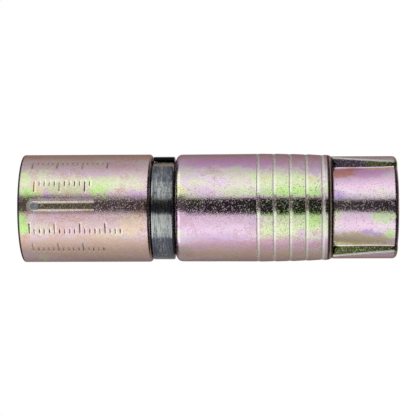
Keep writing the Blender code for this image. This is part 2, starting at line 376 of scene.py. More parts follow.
@dataclass(frozen=True)
class ChannelLightAndShade:
    """Painted highlights on the walls and rim of a channel, white where they catch the light, and painted
    shade on its darker floor and ramp.

    The spans of the floor, the wall and the rim are counted in walls, inwards from the rim.
    """

    top: float
    foot: float
    half_width: float
    wall: float
    ramp: float
    tint: Colour = (0.98, 0.98, 0.95)
    roughness: float = 0.6
    floor_shade_tint: Colour = (0.60, 0.54, 0.38)
    floor_polish: float = 0.2
    floor_edge: Span = (0.9, 0.5)
    wall_edge: Span = (0.75, 0.45)
    rim_edge: Span = (0.0, -0.25)
    foot_blur: float = 0.2
    side_blur: float = 0.1
    ramp_blur: float = 0.15
    ramp_shade_tint: Colour = (0.52, 0.56, 0.58)
    ramp_roughness: float = 0.55
    halo: float = 0.5 * MM
    halo_core: float = 0.5
    halo_roughness: float = 0.45
    highlight_noise: float = 1.6
    highlight_rise: float = 0.5
    highlight_base: float = 0.4
    highlight_edge: Span = (0.1, 0.6)

    def inside(self, walls: float) -> float:
        """Return the distance from the channel's middle that lies so many walls inside its rim."""
        return self.half_width - self.wall * walls

    def over(self, graph: ShaderGraph, around: Around, worn: Signal, colour: Signal, rough: Signal,
             plain: float) -> tuple[Signal, Signal]:
        """Lay the channel's painted highlights and painted shade over a finish.

        Args:
            graph: Graph of the finish.
            around: The piece's coordinates.
            overlay: Noise about 0 that breaks the painted highlights.
            colour: The finish's colour.
            rough: Its roughness.
            plain: Roughness that it has where nothing marks it.

        Returns:
            The colour and the roughness with the painted highlights and painted shade.
        """
        middle = self.top - self.half_width
        beyond = graph.maths("MAXIMUM", around.height - middle, 0.0)
        reach = graph.length(around.right, beyond)
        blur = self.wall * self.foot_blur
        in_front = 1 - around.back.ramped(-self.side_blur * self.half_width, 0.0)
        here = around.height.ramped(self.foot - blur, self.foot + blur) * in_front
        core = self.half_width + self.halo * self.halo_core
        halo = here * (1 - reach.ramped(core, self.half_width + self.halo))
        rough = rough + halo * (self.halo_roughness - plain)
        # Painted shade: the channel's floor and ramp take darker tints.
        bottom = here * (1 - reach.ramped(*map(self.inside, self.floor_edge)))
        ramp = around.height.ramped(self.top - self.ramp * (1 + self.ramp_blur), self.top - self.ramp)
        colour = graph.blend(bottom, colour, graph.blend(ramp, self.floor_shade_tint, self.ramp_shade_tint))
        ramp_change = ramp * (self.ramp_roughness - self.halo_roughness)
        rough = rough + bottom * (ramp_change - self.floor_polish + ramp * self.floor_polish)
        # Painted highlight: the walls and the rim turn white and rough where they catch the light.
        wall = reach.ramped(*map(self.inside, self.wall_edge))
        rim = 1 - reach.ramped(*map(self.inside, self.rim_edge))
        share = (around.height - self.foot) * (1 / (self.top - self.foot))
        highlight_breakup = worn * self.highlight_noise + share * self.highlight_rise + self.highlight_base
        lit_wall = here * wall * rim * highlight_breakup.ramped(*self.highlight_edge)
        rough = rough + lit_wall * (self.roughness - self.halo_roughness)
        return graph.blend(lit_wall, colour, self.tint), rough


@dataclass(frozen=True)
class WingFilmAndHighlights:
    """Painted highlights along the corners of the cone's wings, and green film on their flats, with a
    grey-violet tint on one wing's flat near the sleeve that is partly the film's colour and partly painted
    shade.
    """

    reach: float
    body_foot: float
    slope: float
    length: float
    half_top: float
    half_foot: float
    bulge: float
    corner_highlight_tint: Colour = (1.0, 0.98, 0.93)
    corner_roughness: float = 0.5
    corner_width: Span = (0.17 * MM, 0.28 * MM)
    corner_depth: Span = (0.24 * MM, 0.14 * MM)
    corner_coverage: float = 0.9
    highlight_edge: Span = (0.1, 0.7)
    green: Colour = (0.66, 0.84, 0.34)
    slate_shade: Colour = (0.48, 0.44, 0.54)
    slate_shade_across: Span = (-1.0 * MM, 1.0 * MM)
    slate_shade_height: Span = (3.4 * MM, 5.4 * MM)
    flat_edge: Span = (-0.02 * MM, 0.3 * MM)
    outside_edge: float = 0.1 * MM

    def over(self, graph: ShaderGraph, around: Around, worn: Signal, colour: Signal, rough: Signal,
             plain: float) -> tuple[Signal, Signal]:
        """Lay the wings' film, painted highlights and painted shade over a finish.

        Args:
            graph: Graph of the finish.
            around: The piece's coordinates.
            worn: Noise about 0 that breaks the edges.
            colour: The finish's colour.
            rough: Its roughness.
            plain: Roughness that it has where nothing marks it.

        Returns:
            The colour and the roughness with the film, the painted highlights and the painted shade.
        """
        radial = graph.length(around.right, around.back)
        proud = radial + around.height * self.slope - self.body_foot
        within = 1 - radial.ramped(self.reach - self.outside_edge, self.reach)
        flat = proud.ramped(*self.flat_edge) * within
        # The grey-violet tint on the +X wing's flat near the sleeve is partly the film's colour and partly
        # painted shade.
        mixed = around.right.ramped(*self.slate_shade_across) * around.height.ramped(*self.slate_shade_height)
        colour = graph.blend(flat, colour, graph.blend(mixed, self.green, self.slate_shade))
        share = 1 - around.height * (1 / self.length)
        half = share * (self.half_foot - self.half_top)
        half = half + share * (1 - share) * (4 * self.bulge) + self.half_top
        # Painted highlight: the wings' corners turn near white and rough, where their edges catch the
        # light.
        beside = 1 - (around.back.size() - half).size().ramped(*self.corner_width)
        corner = beside * radial.ramped(*(self.reach - depth for depth in self.corner_depth))
        corner = corner * (worn + self.corner_coverage).ramped(*self.highlight_edge)
        rough = rough + corner * (self.corner_roughness - plain)
        return graph.blend(corner, colour, self.corner_highlight_tint), rough


@dataclass(frozen=True)
class ZincFinish:
    """Yellow passivated zinc: a rainbow film over fine grained plating."""

    name: str
    film: Sequence[Tint]
    patches: Sequence[Patch] = ()
    bands: Sequence[Bands] = ()
    worn: Optional[Union[ChannelLightAndShade, WingFilmAndHighlights]] = None
    roughness: float = 0.12
    roughness_change: float = 0.1
    pit_roughness: float = 0.44
    pit_edge: Span = (0.06, 0.15)
    pits: Grain = Grain(5200.0, 1.0)
    grain: Grain = Grain(5200.0, 2.0, 0.6)
    grain_depth: float = 0.01 * MM
    cloud: Grain = Grain(230.0, 3.0)
    mottle: Grain = Grain(800.0, 4.0, 0.65)
    speck: Grain = Grain(3600.0, 2.0, 0.7)
    wander: Grain = Grain(420.0, 3.0, 0.6)
    cloud_weight: float = 2.2
    mottle_weight: float = 1.6
    speck_weight: float = 0.9
    film_ends: Span = (0.1, 0.9)
    angle_wander: float = 0.3
    height_wander: float = 4.0 * MM
    ragged_mottle: float = 1.3
    ragged_speck: float = 1.1
    shade_level: float = 0.97
    shade_mottle: float = 0.2
    shade_speck: float = 0.35
    edge_tint: Colour = (0.80, 0.62, 0.60)

    def make(self) -> bpy.types.Material:
        """Make the finish.

        Returns:
            The material.
        """
        graph = ShaderGraph(bpy.data.materials.new(self.name))
        around = Around(graph)
        cloud, mottle, speck = (
            graph.noise(around.place, grain) - 0.5 for grain in (self.cloud, self.mottle, self.speck))
        colour = self.filmed(graph, around, cloud, mottle, speck)
        pitted = (graph.noise(around.place, self.pits) - 0.5).ramped(*self.pit_edge)
        rough = mottle * self.roughness_change + self.roughness
        rough = rough + pitted * (self.pit_roughness - self.roughness)
        # Each band is a line of colour and roughness: the nicks, and painted highlights and painted shade.
        for groove in self.bands:
            line = groove.mask(graph, around, mottle + speck)
            colour = graph.blend(line, colour, groove.tint)
            rough = rough + line * (groove.roughness - self.roughness)
        if self.worn:
            colour, rough = self.worn.over(graph, around, speck + mottle, colour, rough, self.roughness)
        grain = graph.noise(around.place, self.grain)
        bump = graph.node("ShaderNodeBump", {}, {"Distance": self.grain_depth, "Height": grain})
        shader = graph.node("ShaderNodeBsdfPrincipled", {}, {
            "Base Color": colour,
            "Metallic": 1.0,
            "Roughness": rough,
            "Specular Tint": (*self.edge_tint, 1.0),
            "Normal": bump,
        })
        return graph.finish(shader)

    def filmed(self, graph: ShaderGraph, around: Around, cloud: Signal, mottle: Signal,
               speck: Signal) -> Signal:
        """Return the colour of the rainbow film.

        Args:
            graph: Graph of the finish.
            around: The piece's coordinates.
            cloud: Coarse noise about 0.
            mottle: Middling noise about 0.
            speck: Fine noise about 0.

        Returns:
            The film's colour.
        """
        thickness = cloud * self.cloud_weight + mottle * self.mottle_weight
        thickness = thickness + speck * self.speck_weight + 0.5
        places = np.linspace(*self.film_ends, len(self.film)).tolist()
        colour = graph.ramp(thickness, [(place, tint.value) for place, tint in zip(places, self.film)])
        wander = graph.noise(around.place, self.wander).output("Color")
        sway = graph.node("ShaderNodeSeparateXYZ", {}, {0: wander})
        angle = around.angle + (sway.output("X") - 0.5) * self.angle_wander
        height = around.height + (sway.output("Y") - 0.5) * self.height_wander
        ragged = mottle * self.ragged_mottle + speck * self.ragged_speck
        for patch in self.patches:
            colour = graph.blend(patch.mask(angle, height, ragged), colour, patch.tint.value)
        shade = speck * self.shade_speck + mottle * self.shade_mottle + self.shade_level
        return graph.blend(1.0, colour, graph.grey(shade), "MULTIPLY")


@dataclass(frozen=True)
class PaintedLightStretch:
    """A stretch of the ring painted lighter, as painted highlight where the ring catches the light, its
    angles in degrees.
    """

    angle: float
    half_angle: float
    strength: float
    edge: Span = (0.7, 1.15)

    def mask(self, angle: Signal) -> Signal:
        """Return how much of the stretch lies at an angle."""
        away = (angle - math.radians(self.angle)).size() * (1 / math.radians(self.half_angle))
        return (1 - away.ramped(*self.edge)) * self.strength


@dataclass(frozen=True)
class NylonFinish:
    """Black moulded nylon, polished to fine streaks that run round the ring, with stretches of it painted
    lighter as painted highlight.

    The belly and the rims are counted in half widths from the ring's middle.
    """

    middle: float
    half_width: float
    cut_ends: Sequence[float]
    name: str = "black_nylon"
    dark: Colour = (0.105, 0.115, 0.15)
    light: Colour = (0.56, 0.59, 0.56)
    cut_face: Colour = (0.012, 0.012, 0.014)
    cut_edge: Span = (0.002, 0.006)
    run_radius: float = 7.4 * MM
    stretch: float = 0.07
    streak: Grain = Grain(5200.0, 4.0, 0.7)
    cloud: Grain = Grain(420.0)
    speck: Grain = Grain(3600.0, 2.0, 0.6)
    streak_weight: float = 2.4
    cloud_weight: float = 0.7
    speck_weight: float = 0.9
    level: float = 0.08
    belly: Span = (0.1, 0.8)
    belly_weight: float = 0.16
    rim_inner: Span = (0.82, 0.88)
    rim_outer: Span = (0.93, 0.98)
    rim_highlight_weight: float = 0.9
    painted_light_stretches: Sequence[PaintedLightStretch] = (
        PaintedLightStretch(15, 14, 0.3), PaintedLightStretch(-23, 15, 0.5), PaintedLightStretch(118, 34, 0.4), PaintedLightStretch(-128, 40, 0.4),
    )
    sheen: float = 0.9
    roughness: float = 0.14
    roughness_change: float = 0.1
    streak_depth: float = 0.004 * MM

    def make(self) -> bpy.types.Material:
        """Make the finish.

        Returns:
            The material.
        """
        graph = ShaderGraph(bpy.data.materials.new(self.name))
        around = Around(graph)
        turn = around.angle * (self.run_radius * self.stretch)
        run = graph.node("ShaderNodeCombineXYZ", {}, {"X": turn, "Z": around.height})
        streak = graph.noise(run, self.streak)
        cloud = graph.noise(around.place, self.cloud)
        speck = graph.noise(around.place, self.speck)
        aside = ((around.height - self.middle) * (1 / self.half_width)).size()
        belly = 1 - aside.ramped(*self.belly)
        rim = aside.ramped(*self.rim_inner) * (1 - aside.ramped(*self.rim_outer))
        level = (streak - 0.5) * self.streak_weight + (cloud - 0.5) * self.cloud_weight
        level = level + (speck - 0.5) * self.speck_weight + belly * self.belly_weight + self.level
        # Painted highlight: lighter stretches round the ring, brightest at its rims; between them it stays
        # darker.
        for lit_stretch in self.painted_light_stretches:
            level = level + lit_stretch.mask(around.angle) * (rim * self.rim_highlight_weight + 1)
        colour = graph.blend(level.ramped(0.0, 1.0), self.dark, self.light)
        for end in self.cut_ends:
            cut_here = 1 - (around.angle - end).size().ramped(*self.cut_edge)
            colour = graph.blend(cut_here, colour, self.cut_face)
        rough = (speck - 0.5) * self.roughness_change + self.roughness
        bump = graph.node("ShaderNodeBump", {}, {"Distance": self.streak_depth, "Height": streak})
        shader = graph.node("ShaderNodeBsdfPrincipled", {}, {
            "Base Color": colour,
            "Metallic": self.sheen,
            "Roughness": rough,
            "Normal": bump,
        })
        return graph.finish(shader)


def arc_points(centre: Sequence[float], radius: float, start: float, end: float, steps: int) -> list[Point]:
    """Return points on an arc from one angle in radians to another, both included."""
    angles = [start + (end - start) * step / steps for step in range(steps + 1)]
    return [(centre[0] + radius * math.cos(a), centre[1] + radius * math.sin(a)) for a in angles]


def rounded_outline(corners: Sequence[Corner], steps: int = 7) -> list[Point]:
    """Ease the corners of a closed outline.

    Args:
        corners: Corners as (radius from the axis, height, easing).
        steps: Chords in each easing.

    Returns:
        The eased outline.
    """
    outline: list[Point] = []
    for index, (x, z, radius) in enumerate(corners):
        here = Vector((x, z))
        if radius <= 0:
            outline.append((x, z))
            continue
        before_x, before_z, radius_before = corners[index - 1]
        after_x, after_z, radius_after = corners[(index + 1) % len(corners)]
        before = Vector((before_x, before_z)) - here
        after = Vector((after_x, after_z)) - here
        inward = before.normalized()
        outward = after.normalized()
        half_angle = inward.angle(outward) / 2
        room_before = before.length * (EASE_LIMIT if radius_before > 0 else LONE_EASE_LIMIT)
        room_after = after.length * (EASE_LIMIT if radius_after > 0 else LONE_EASE_LIMIT)
        reach = min(radius / math.tan(half_angle), room_before, room_after)
        radius = reach * math.tan(half_angle)
        centre = here + (inward + outward).normalized() * radius / math.sin(half_angle)
        first = here + inward * reach - centre
        last = here + outward * reach - centre
        start = math.atan2(first.y, first.x)
        turn = math.atan2(first.x * last.y - first.y * last.x, first.dot(last))
        outline.extend(arc_points(centre, radius, start, start + turn, steps))
    return outline


def filled_outline(outline: Sequence[Point], spacing: Callable[[Point, Point], float]) -> np.ndarray:
    """Add points along an outline's long edges.

    Args:
        outline: Closed outline of (radius, height).
        spacing: Greatest distance between points for an edge, from its two ends.

    Returns:
        The points, one a row.
    """
    points: list[Point] = []
    for here, after in zip(outline, [*outline[1:], outline[0]]):
        length = math.dist(here, after)
        count = max(1, math.ceil(length / spacing(here, after)))
        for step in range(count):
            share = step / count
            points.append((here[0] + (after[0] - here[0]) * share, here[1] + (after[1] - here[1]) * share))
    return np.array(points)


def smooth(share: np.ndarray) -> np.ndarray:
    """Return a share from 0 to 1 with its rise eased at both ends."""
    return share * share * (3 - 2 * share)


def wrapped(radii: np.ndarray, heights: np.ndarray, angles: np.ndarray) -> np.ndarray:
    """Wrap a grid round the axis.

    Args:
        radii: Radius at each row and column.
        heights: Heights that fit the radii.
        angles: Angles from the front that fit them.

    Returns:
        The points, with their coordinates along a last axis.
    """
    across = radii * np.sin(angles)
    ahead = -radii * np.cos(angles)
    return np.stack([across, ahead, heights + np.zeros_like(radii)], axis=-1)


def turned(section: np.ndarray, angles: np.ndarray) -> np.ndarray:
    """Return a section of (radius, height) turned to each angle, as rows, columns and coordinates."""
    radii = section[:, :1] + np.zeros((1, len(angles)))
    return wrapped(radii, section[:, 1:], angles[None, :])


def placed(name: str, form: bmesh.types.BMesh) -> bpy.types.Object:
    """Put a form into the scene as an object and free it.

    Args:
        name: Name of the object and of its mesh.
        form: The finished form.

    Returns:
        The new object.
    """
    mesh = bpy.data.meshes.new(name)
    form.to_mesh(mesh)
    form.free()
    thing = bpy.data.objects.new(name, mesh)
    bpy.context.scene.collection.objects.link(thing)
    return thing


def skinned(name: str, points: np.ndarray, open_ends: bool = False) -> bpy.types.Object:
    """Skin a grid of points whose rows close on the section and whose columns run round.

    Args:
        name: Name of the piece.
        points: Array of rows, columns and coordinates.
        open_ends: Whether the columns stop short of a full turn, with a cap at each end.

    Returns:
        The new object.
    """
    rows, columns = points.shape[:2]
    turns = columns - 1 if open_ends else columns
    faces = []
    for row in range(rows):
        below = (row + 1) % rows
        for column in range(turns):
            beside = (column + 1) % columns
            faces.append((row * columns + column, below * columns + column,
                          below * columns + beside, row * columns + beside))
    if open_ends:
        faces.append([row * columns for row in range(rows)])
        faces.append([row * columns + columns - 1 for row in reversed(range(rows))])
    grid = bpy.data.meshes.new(name)
    grid.from_pydata(points.reshape(-1, 3).tolist(), [], faces)
    form = bmesh.new()
    form.from_mesh(grid)
    bpy.data.meshes.remove(grid)
    bmesh.ops.recalc_face_normals(form, faces=form.faces)
    return placed(name, form)


def shade(piece: bpy.types.Object) -> None:
    """Shade a piece smooth, with its true corners sharp."""
    piece.data.shade_smooth()
    piece.data.set_sharp_from_angle(angle=SHARP_ANGLE)


def cut(piece: bpy.types.Object, tool: bpy.types.Object) -> None:
    """Cut a tool out of a piece and remove the tool.

    Args:
        piece: Piece that is cut.
        tool: Closed form that is taken away.
    """
    modifier = piece.modifiers.new(tool.name, "BOOLEAN")
    modifier.operation = "DIFFERENCE"
    modifier.solver = "EXACT"
    modifier.object = tool
    bpy.context.view_layer.update()
    evaluated = piece.evaluated_get(bpy.context.evaluated_depsgraph_get())
    solid = bpy.data.meshes.new_from_object(evaluated)
    piece.modifiers.clear()
    piece.data = solid
    bpy.data.objects.remove(tool, do_unlink=True)


def dress(piece: bpy.types.Object, node: str, slot: str, finish: bpy.types.Material) -> None:
    """Give a piece its finish and its place in the frame.

    Args:
        piece: The dressed piece.
        node: CAD node that it stands for.
        slot: Material slot in the record; not used.
        finish: Its material.
    """
    piece.data.materials.clear()
    piece.data.materials.append(finish)
    shade(piece)
    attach(piece, BODY)
    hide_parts(node)
    triangles = sum(len(face.vertices) - 2 for face in piece.data.polygons)
    log.info("%s replaces %s with %d triangles", piece.name, node, triangles)


@dataclass
class GaugeRow:
    """A row of plain stamped strokes, every fifth one long."""

    angle: float
    first: float
    last: float
    side: Side
    pitch: float = 0.72 * MM
    long_stroke: float = 1.95 * MM
    short_stroke: float = 1.1 * MM
    half_width: float = 0.17 * MM
    depth: float = 0.066 * MM
    end_ease: float = 0.2 * MM
    long_every: int = 5

    def relief(self, radius: float, angles: np.ndarray, heights: np.ndarray) -> np.ndarray:
        """Return how deep the strokes are stamped.

        Args:
            radius: Radius of the tube.
            angles: Angles of the grid's columns.
            heights: Heights of the grid's rows.

        Returns:
            Depth at each row and column.
        """
        away = (angles - math.radians(self.angle) + math.pi) % math.tau - math.pi
        foot = self.long_stroke / 2 - away * radius * self.side.value
        depth = np.zeros((len(heights), len(angles)))
        count = int((self.first - self.last) / self.pitch)
        for index in range(count + 1):
            middle = self.first - index * self.pitch
            length = self.long_stroke if index % self.long_every == 0 else self.short_stroke
            across = np.clip(1 - np.abs(heights - middle) / self.half_width, 0, 1)
            within = np.clip(np.minimum(foot, length - foot) / self.end_ease, 0, 1)
            depth += self.depth * smooth(across)[:, None] * within[None, :]
        return depth


@dataclass
class SpacerSleeve:
    """Tube at the mouth end, with a pressed channel and four rows of stamped strokes."""

    node: str = "spacer_sleeve"
    slot: str = "spacer_steel"
    bore: float = 5.15 * MM
    bore_lead: float = 0.35 * MM
    bore_edge: float = 0.05 * MM
    lead_edge: float = 0.08 * MM
    seat: float = 6.85 * MM
    seat_depth: float = 3.1 * MM
    mouth_edge: float = 0.26 * MM
    foot_edge: float = 0.5 * MM
    channel_from_mouth: float = 1.7 * MM
    channel_length: float = 9.2 * MM
    channel_width: float = 1.4 * MM
    channel_depth: float = 0.22 * MM
    channel_rise: float = 0.1 * MM
    channel_wall: float = 0.26 * MM
    channel_ramp: float = 1.15 * MM
    channel_foot_run: float = 0.02 * MM
    channel_round: float = 0.4
    channel_layers: int = 40
    channel_margin: float = 0.62
    stroke_margin: float = 0.6
    fine: float = 0.085 * MM
    fine_column: float = 0.11 * MM
    coarse: float = 2.0 * MM
    coarse_columns: int = 230
    roughness: float = 0.17
    radius: float = field(init=False)
    mouth: float = field(init=False)
    foot: float = field(init=False)
    channel_top: float = field(init=False)
    channel_foot: float = field(init=False)

    def __post_init__(self) -> None:
        """Take the tube's outer size and its place from the frame, and place the channel."""
        low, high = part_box(self.node)
        self.radius = high.x
        self.mouth = high.z
        self.foot = low.z
        self.channel_top = self.mouth - self.channel_from_mouth
        self.channel_foot = self.channel_top - self.channel_length

    def rows(self) -> list[GaugeRow]:
        """Place the four rows of strokes, two on each side of the channel.

        Returns:
            The rows, from the right to the left.
        """
        top = self.mouth
        return [
            GaugeRow(50.3, top - 1.8 * MM, top - 13.2 * MM, Side.RIGHT),
            GaugeRow(21.2, top - 2.4 * MM, top - 10.6 * MM, Side.RIGHT),
            GaugeRow(-23.9, top - 1.7 * MM, top - 14.7 * MM, Side.LEFT),
            GaugeRow(-48.3, top - 2.0 * MM, top - 12.2 * MM, Side.LEFT),
        ]

    def angles(self, rows: Sequence[GaugeRow]) -> np.ndarray:
        """Return the columns' angles, close together at the channel and the strokes.

        Args:
            rows: The rows of strokes.

        Returns:
            Angles from the front, in order.
        """
        dense = [(0.0, self.channel_width * self.channel_margin / self.radius)]
        for row in rows:
            dense.append((math.radians(row.angle), row.long_stroke * self.stroke_margin / self.radius))
        fine_step = self.fine_column / self.radius
        coarse_step = math.tau / self.coarse_columns
        angle = -math.pi
        angles = []
        while angle < math.pi - coarse_step / 2:
            angles.append(angle)
            near = any(abs(angle - middle) < half for middle, half in dense)
            angle += fine_step if near else coarse_step
        return np.array(angles)

    def channel(self, angles: np.ndarray, heights: np.ndarray) -> np.ndarray:
        """Return the depth of the pressed channel, whose mouth end is round with a curved ramp.

        Args:
            angles: Angles of the columns.
            heights: Heights of the rows.

        Returns:
            Depth at each row and column.
        """
        from_middle = np.where(np.cos(angles) > 0, np.abs(np.sin(angles) * self.radius), np.inf)
        across = from_middle[None, :]
        height = heights[:, None]
        share = np.zeros((len(heights), len(angles)))
        for layer in range(1, self.channel_layers + 1):
            part = layer / self.channel_layers
            half = self.channel_width / 2 - self.channel_wall * part
            middle = self.channel_top - self.channel_ramp * part ** 2 - half
            beyond = np.maximum(height - middle, 0)
            inside = np.hypot(across, beyond) < half
            inside &= height > self.channel_foot + self.channel_foot_run * (part - 0.5)
            share[inside] = part
        fall = np.clip((self.channel_top - height) / self.channel_length, 0, 1)
        eased = smooth(share) * self.channel_round + share * (1 - self.channel_round)
        return (self.channel_depth - self.channel_rise * fall) * eased

    def build(self) -> bpy.types.Object:
        """Build the tube.

        Returns:
            The dressed tube.
        """
        seat_top = self.foot + self.seat_depth
        corners = [
            (self.bore + self.bore_lead, self.mouth, self.lead_edge),
            (self.radius, self.mouth, self.mouth_edge),
            (self.radius, self.channel_foot + self.channel_foot_run, 0),
            (self.radius, self.channel_foot, 0),
            (self.radius, self.foot, self.foot_edge),
            (self.seat, self.foot, 0),
            (self.seat, seat_top, 0),
            (self.bore, seat_top, 0),
            (self.bore, self.mouth - self.bore_lead, self.bore_edge),
        ]
        rows = self.rows()
        stamped_foot = min(row.last for row in rows) - 2 * self.fine
        outside = self.radius - self.fine / 4

        def spacing(here: Point, after: Point) -> float:
            """Return the greatest step along an edge of the outline."""
            stamped = min(here[0], after[0]) > outside and max(here[1], after[1]) > stamped_foot
            return self.fine if stamped else self.coarse

        section = filled_outline(rounded_outline(corners), spacing)
        angles = self.angles(rows)
        radii = section[:, :1]
        heights = section[:, 1]
        relief = self.channel(angles, heights)
        for row in rows:
            relief += row.relief(self.radius, angles, heights)
        radii = radii - np.where(radii > outside, relief, 0.0)
        tube = skinned("spacer_tube", wrapped(radii, heights[:, None], angles[None, :]))
        dress(tube, self.node, self.slot, self.finish())
        return tube

    def finish(self) -> bpy.types.Material:
        """Make the spacer's zinc, with a dark line at the mouth, which is a painted dark reflection on the
        mouth's rounding.

        Returns:
            The material.
        """
        return ZincFinish(
            "spacer_zinc", (Tint.TAN, Tint.ROSE, Tint.SILVER, Tint.ROSE, Tint.CREAM),
            # The dark line at the mouth is a painted dark reflection on the mouth's rounding.
            bands=(Bands(self.mouth - 0.17 * MM, 0.16 * MM, (0.10, 0.09, 0.08), 0.3),),
            roughness=self.roughness,
            worn=ChannelLightAndShade(
                self.channel_top,
                self.channel_foot,
                self.channel_width / 2,
                self.channel_wall,
                self.channel_ramp,
            ),
            # Patches towards the sides (tan and brown) are partly the film's colour and partly painted
            # shade: the sides' darker, warmer look.
            patches=(
                Patch(Tint.TAN, 74, 44, 18, 14, 0.85),
                Patch(Tint.ROSE, 50, 46, 9, 9, 0.7),
                Patch(Tint.PINK, 37, 45, 6, 5, 0.7),
                Patch(Tint.MAUVE, 46, 39.5, 8, 3.6, 0.5),
                Patch(Tint.CREAM, 25, 47.5, 9, 5.0, 0.9),
                Patch(Tint.OLIVE, 18, 47.3, 9, 4.4, 0.75),
                Patch(Tint.PALE_LIME, 24, 41.6, 9, 2.6, 0.9),
                Patch(Tint.CREAM, 24, 38.2, 10, 2.4, 0.8),
                Patch(Tint.PALE_LIME, 29, 53.3, 9, 1.0, 0.9),
                Patch(Tint.LIME, 15, 52.8, 8, 1.7, 0.95),
                Patch(Tint.OLIVE, 0, 53.2, 7, 1.2, 0.8),
                Patch(Tint.GOLD, 21, 51.2, 9, 0.6, 0.85),
                Patch(Tint.LILAC, 13, 49.8, 4, 0.9, 0.9),
                Patch(Tint.LIME, 16, 42.2, 6, 1.6, 0.9),
                Patch(Tint.LILAC, 12.5, 37.2, 5, 1.7, 0.85),
                Patch(Tint.ROSE, -22, 45.5, 14, 6.5, 0.6),
                Patch(Tint.MAUVE, -9, 46, 4, 5, 0.5),
                Patch(Tint.CREAM, -25, 50, 7, 2.0, 0.5),
                Patch(Tint.LIME, -18, 53.3, 14, 1.1, 1.0),
                Patch(Tint.PEACH, -20, 37.6, 11, 2.2, 0.85),
                Patch(Tint.TAN, -50, 44, 18, 14, 0.9),
                Patch(Tint.BROWN, -76, 40, 12, 8, 0.5),
            ),
        ).make()


@dataclass
class CrushRing:
    """Split nylon collar between the two sleeves."""

    node: str = "crush_ring"
    slot: str = "ring_nylon"
    seat: float = 6.85 * MM
    radius: float = 7.46 * MM
    edge: float = 0.14 * MM
    seat_edge: float = 0.05 * MM
    spacing: float = 0.25 * MM
    split_start: float = math.radians(50.5)
    split_end: float = math.radians(77.5)
    columns: int = 300

    def build(self) -> bpy.types.Object:
        """Build the collar.

        Returns:
            The dressed collar.
        """
        low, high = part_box(self.node)
        corners = [
            (self.seat, high.z, self.seat_edge),
            (self.radius, high.z, self.edge),
            (self.radius, low.z, self.edge),
            (self.seat, low.z, self.seat_edge),
        ]
        section = filled_outline(rounded_outline(corners), lambda here, after: self.spacing)
        angles = np.linspace(self.split_end, self.split_start + math.tau, self.columns)
        collar = skinned("nylon_collar", turned(section, angles), open_ends=True)
        cut_ends = (self.split_start, self.split_end)
        finish = NylonFinish((low.z + high.z) / 2, (high.z - low.z) / 2, cut_ends)
        dress(collar, self.node, self.slot, finish.make())
        return collar


